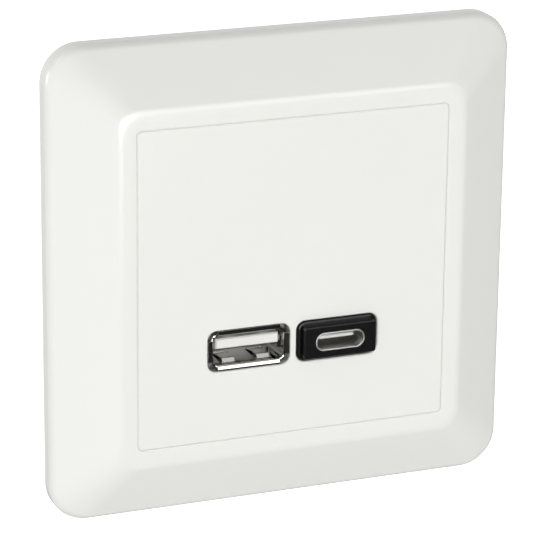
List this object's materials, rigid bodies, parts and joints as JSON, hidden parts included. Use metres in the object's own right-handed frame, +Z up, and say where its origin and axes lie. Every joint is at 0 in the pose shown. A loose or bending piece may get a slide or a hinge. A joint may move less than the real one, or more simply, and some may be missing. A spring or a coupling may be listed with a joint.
{
  "type": "usb wall socket",
  "caption": "Square white flush-mounted wall socket with a USB-A and a USB-C charging port, steel support ring and insert housing with push-in mains terminals.",
  "frame": {"origin": "centre of the wall-box screw pattern, on the wall plane that the cover frame and support ring lie on", "axes": "+X to the right as seen from the room, +Y into the wall, +Z up; the front faces -Y"},
  "size_m": [0.082, 0.0423, 0.082],
  "materials": {
    "white_plastic": "gloss",
    "port_metal": "polished nickel",
    "white_insulator": "satin",
    "black_plastic": "satin",
    "grey_insulator": "satin",
    "gold_contact": "polished",
    "ring_steel": "galvanised",
    "grey_plastic": "fine texture",
    "terminal_plastic": "fine texture",
    "button_plastic": "satin",
    "screw_steel": "zinc plated",
    "board_laminate": "solder mask",
    "tinned_metal": "tinned",
    "ferrite": "matt",
    "bobbin_plastic": "matt",
    "winding_tape": "tape",
    "can_sleeve": "sleeve",
    "fuse_body": "satin",
    "capacitor_box": "satin",
    "chip_resin": "matt",
    "choke_body": "matt",
    "busbar_brass": "bare",
    "spring_steel": "stainless"
  },
  "bodies": {
    "socket": {"cover_frame": "white_plastic", "centre_plate": "white_plastic", "usb_a_shell": "port_metal", "usb_c_shell": "port_metal", "usb_a_tongue": "white_insulator", "usb_c_bezel": "black_plastic", "usb_c_tongue": "grey_insulator", "usb_a_contacts": "gold_contact", "usb_c_contacts": "gold_contact", "support_ring": "ring_steel", "insert_front": "grey_plastic", "rear_housing": "grey_plastic", "terminal_block_line": "terminal_plastic", "terminal_block_neutral": "terminal_plastic", "housing_screws": "screw_steel", "port_board": "board_laminate", "power_board": "board_laminate", "board_pins": "tinned_metal", "transformer_core": "ferrite", "transformer_bobbin": "bobbin_plastic", "transformer_winding": "winding_tape", "bulk_capacitors": "can_sleeve", "output_capacitor": "can_sleeve", "fuse": "fuse_body", "interference_capacitor": "capacitor_box", "rectifier": "chip_resin", "optocoupler": "chip_resin", "switch_controller": "chip_resin", "port_controllers": "chip_resin", "output_choke": "choke_body", "busbar_line": "busbar_brass", "busbar_neutral": "busbar_brass", "clamp_spring_line": "spring_steel", "clamp_spring_neutral": "spring_steel"},
    "button_line": {"release_button_line": "button_plastic"},
    "button_neutral": {"release_button_neutral": "button_plastic"}
  },
  "joints": [
    {"name": "press_line", "type": "slide", "parent": "socket", "child": "button_line", "axis": [0, -1, 0], "range_m": [0, 0.0016], "stiffness_N_per_m": 3000, "springref_m": -0.0005, "deforming": ["clamp_spring_line"]},
    {"name": "press_neutral", "type": "slide", "parent": "socket", "child": "button_neutral", "axis": [0, -1, 0], "range_m": [0, 0.0016], "stiffness_N_per_m": 3000, "springref_m": -0.0005, "deforming": ["clamp_spring_neutral"]}
  ]
}
